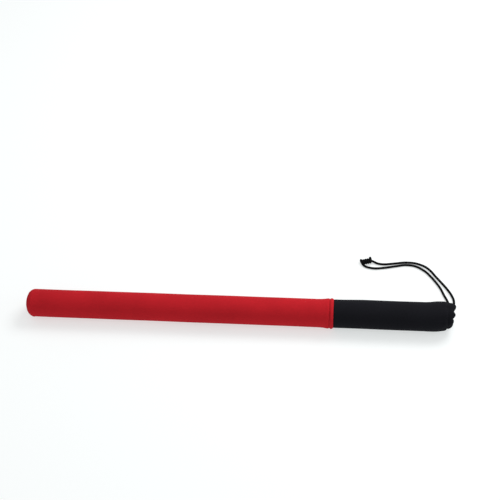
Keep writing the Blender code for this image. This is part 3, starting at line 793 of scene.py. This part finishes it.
def make_grip_sleeve():
    tuck, straight, mouth = grip_outline()
    rows = np.vstack([tuck, straight, mouth])
    turn = turns(count=208, pull=0.45)
    points = mouth_surface(rows, turn[None, :])
    across = SLIT_RADIUS * wrap(turn - SLIT_TURN)
    station = (points[:-1, :, 0] + points[1:, :, 0]) / 2
    slot = np.hypot(np.maximum(np.abs(across) - SLIT_SIDE, 0), station - SLIT_STATION)
    outer = (np.arange(len(rows) - 1) < len(tuck) + len(straight) + np.argmax(mouth[:, 0]) - 3)[:, None]
    holes = (slot < SLIT_END) & outer
    fit_to_slit(points, holes, across)
    piece = put("grip_sleeve_cloth", grid_mesh("grip_sleeve_cloth", points, holes=holes), BLACK_CLOTH)
    solidify(piece)
    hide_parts("grip_sleeve")
    return piece, mouth


def mouth_point(mouth, station, turn):
    """The point of the channel's outside at this station and turn, and the way out of it there."""
    step, swing = 0.0004, 0.02
    outside = mouth[:np.argmax(mouth[:, 0]) + 1]
    rows = np.stack([np.interp((station - step, station, station + step), outside[:, 0], outside[:, k])
                     for k in range(5)], -1)
    strip = mouth_surface(rows, np.array([[turn - swing, turn, turn + swing]]))
    along = strip[2, 1] - strip[0, 1]
    across = strip[1, 2] - strip[1, 0]
    out = np.cross(across, along)
    out /= np.linalg.norm(out)
    if np.dot(out, radial(turn)) < 0:
        out = -out
    return strip[1, 1], out


def make_channel_stitches(mouth):
    def neck(turn):
        return mouth_point(mouth, NECK + 0.0018, turn)

    piece = stitch_row("channel_stitches", 44, neck, length=0.125, thread=0.00022, material=BLACK_THREAD)
    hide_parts("channel_stitch_thread")
    return piece


def make_slit_binding(mouth):
    """A thick edge sewn round the slit, partly sunk into the cloth."""
    edge, sunk, thread = SLIT_END + 0.0002, 0.0003, 0.0006
    line = []
    for end in (1, -1):
        for angle in math.pi * (np.arange(25) / 24 - 0.5):
            across = end * (SLIT_SIDE + edge * math.cos(angle))
            along = end * edge * math.sin(angle)
            place, out = mouth_point(mouth, SLIT_STATION + along, SLIT_TURN + across / SLIT_RADIUS)
            line.append(place - out * sunk)
    line = smooth_line([*line, line[0]], 0.0004)[:-1]
    binding = tube_mesh("slit_binding", line, thread, sides=12, closed=True)
    return put("slit_binding", binding, BLACK_THREAD)


# ---------------------------------------------------------------- drawcord
def braid(length, angle):
    """Height of a round braid: two families of strands that cross over and under."""
    pitch, strands = 0.0072, 6
    right = np.cos(strands * (angle + length * math.tau / pitch))
    left = np.cos(strands * (angle - length * math.tau / pitch))
    return CORD * 0.045 * (np.maximum(right, left) - 0.35)


def make_strand(name, node, turn, route, inside=()):
    """A strand from the channel along its route, with its line. inside is the part within the knot."""
    start = [around(CORD_STATION, distance, turn) for distance in STRAND_STARTS]
    line = smooth_line([*start, *(np.array(point) for point in route), *inside], 0.00045)
    piece = put(name, tube_mesh(name, line, CORD_LOOK, sides=24, relief=braid), BLACK_CORD)
    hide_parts(node)
    return piece, line


def make_drawcord():
    """The turn of the cord inside the channel, which ends just beside the strands and is pulled half as far
    as the mouth, but not where that would bring it out of the channel."""
    gap = math.radians(9.5)
    low, high = min(STRAND_TURNS) - gap, max(STRAND_TURNS) + gap
    line = []
    for turn in high + (low + math.tau - high) * np.arange(161) / 160:
        pull = 0.5 * MOUTH_SHIFT * (1 - ease(math.cos(turn - MOUTH_LEAN), 0.6, 0.9))
        line.append(around(CORD_STATION, CORD_RING, turn) + pull * radial(MOUTH_LEAN))
    piece = put("drawcord_turn", tube_mesh("drawcord_turn", line, CORD, sides=16, relief=braid), BLACK_CORD)
    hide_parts("drawcord")


def knot_point(along, across, height):
    cosine, sine = math.cos(KNOT_HEADING), math.sin(KNOT_HEADING)
    return KNOT_CENTRE + np.array((along * cosine - across * sine, along * sine + across * cosine, height))


def make_knot(line):
    """Strand B, whose line is given, doubles back in a small bight and is wrapped round strand A. Its cut end
    sticks out and is a little frayed, and in the knot the cord is squeezed."""
    coils = []
    first, last = KNOT_COIL_TURNS
    for share in np.arange(73) / 72:
        turn = first + (last - first) * share
        across, height = KNOT_COIL * math.cos(turn), KNOT_COIL * math.sin(turn)
        along = KNOT_COIL_START + KNOT_COIL_LENGTH * share + KNOT_COIL_SLANT * across
        coils.append((along, across, height))
    step = 0.0004
    path = smooth_line([*line[-6:-1:2], *(knot_point(*point) for point in (*KNOT_BIGHT, *coils, *KNOT_TAIL))],
                       step)
    lengths = np.arange(len(path)) * step
    squeezed = ease(lengths, 0.0, 0.003)
    frayed = ease(lengths[::-1], 0.0035, 0.0)
    radii = CORD_LOOK * (1.0 - 0.06 * squeezed + 0.16 * frayed)
    mesh = tube_mesh("cord_knot_tied", path, radii, sides=24, relief=braid)
    piece = put("cord_knot_tied", mesh, BLACK_CORD)
    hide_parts("cord_knot")
    return piece


# ---------------------------------------------------------------- padding and core
def divided(outline, step):
    """An outline with straight sides, divided at most this far apart."""
    points = np.array(outline, float)
    lengths = lengths_along(points)
    wanted = np.union1d(lengths, np.arange(0.0, lengths[-1], step))
    return np.stack([np.interp(wanted, lengths, points[:, k]) for k in range(2)], -1)


def make_padding(name, node, outline, step, cell, columns, poles=()):
    """A piece of foam turned round the axis: its skin has shallow dimples, and it is flat underneath. poles
    are the stations of its ends, where it has no bore."""
    rings = divided(outline, step)
    turn = turns(columns)[None, :]
    station, radius = rings[:, :1], rings[:, 1:]
    waves = np.sin(station * math.tau / cell + 1.7 * np.sin(turn * 3)) * np.sin(
        radius * turn * math.tau / cell + 2.0 * np.sin(radius * 900))
    dimple, smallest = 0.00007 * (1 + waves), 0.0003
    points = press(around(station, np.maximum(radius - dimple, smallest), turn), FOAM_LOW.z)
    mesh = grid_mesh(name, points, poles=[(pole, 0.0, AXIS_HEIGHT) for pole in poles])
    if not poles:
        weld(mesh)
    piece = put(name, mesh, GREY_FOAM)
    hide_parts(node)


def make_paddings():
    low, high = FOAM_LOW.x, FOAM_HIGH.x
    bore, skin = CORE_RADIUS + 0.0003, FOAM_RADIUS
    waist = skin - FOAM_WAIST
    outline = ((0.0, bore), (low + 0.0006, bore), (low, bore + 0.0006), (low, skin - 0.0015),
               (low + 0.0005, skin - 0.0004), (low + 0.0015, skin), (GRIP_START - 0.0090, skin),
               (GRIP_START - 0.0020, waist), (HEM_EDGE + 0.0010, waist), (HEM_EDGE + 0.0075, skin),
               (high - 0.0120, skin), (high - 0.0055, skin - 0.0002), (high, skin - 0.0009),
               (high, bore + 0.0006), (high - 0.0006, bore), (0.0, bore))
    make_padding("foam_tube_padding", "foam_tube", outline, step=0.0030, cell=0.012, columns=72)
    low, high = (corner.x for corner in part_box("tip_pad"))
    outline = ((low + 0.00002, 0.0006), (low + 0.0016, 0.0085), (low + 0.0032, 0.0122),
               (low + 0.0099, 0.0140), (high - 0.0035, 0.0196), (high - 0.0006, 0.0199), (high, 0.0194),
               (high, 0.0006))
    make_padding("tip_pad_padding", "tip_pad", outline, step=0.0008, cell=0.0022, columns=96,
                 poles=(low, high))
    low, high = (corner.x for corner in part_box("butt_pad"))
    outline = ((low, 0.0006), (low, 0.0192), (low + 0.0005, 0.0197), (high - 0.0046, 0.0190),
               (high - 0.0026, 0.0172), (high - 0.0016, 0.0150), (high - 0.0011, 0.0125),
               (high - 0.0006, 0.0080), (high, 0.0006))
    make_padding("butt_pad_padding", "butt_pad", outline, step=0.0005, cell=0.0022, columns=96,
                 poles=(low, high))


def finish_cad_nodes():
    """The core and its plugs show as CAD made them."""
    for node, material in (("core_tube", CORE_PLASTIC), ("tip_plug", PLUG_PLASTIC),
                           ("butt_plug", PLUG_PLASTIC)):
        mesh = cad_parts[node].data
        mesh.materials.clear()
        mesh.materials.append(material)


# ---------------------------------------------------------------- the whole baton
make_camera()
make_lights()
make_floor()
red = make_red_sleeve()
panel = make_tip_panel()
hem_stitches, tip_stitches = make_red_stitching()
red_bars = seam_stitches("red_seam_stitches", TIP + 0.016, HEM_EDGE - 0.026, RED_THREAD)
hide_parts("red_seam_thread")
grip, mouth = make_grip_sleeve()
channel_stitches = make_channel_stitches(mouth)
binding = make_slit_binding(mouth)
black_bars = seam_stitches("grip_seam_stitches", HEM_EDGE + 0.004, BUTT - 0.030, BLACK_THREAD)
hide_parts("grip_seam_thread")
make_drawcord()
strand_a, line_a = make_strand("drawcord_strand_a", "cord_strand_a", STRAND_TURNS[0], ROUTE_A,
                               inside=[knot_point(*point) for point in KNOT_CORE])
strand_b, line_b = make_strand("drawcord_strand_b", "cord_strand_b", STRAND_TURNS[1], ROUTE_B)
knot = make_knot(line_b)
make_paddings()
finish_cad_nodes()
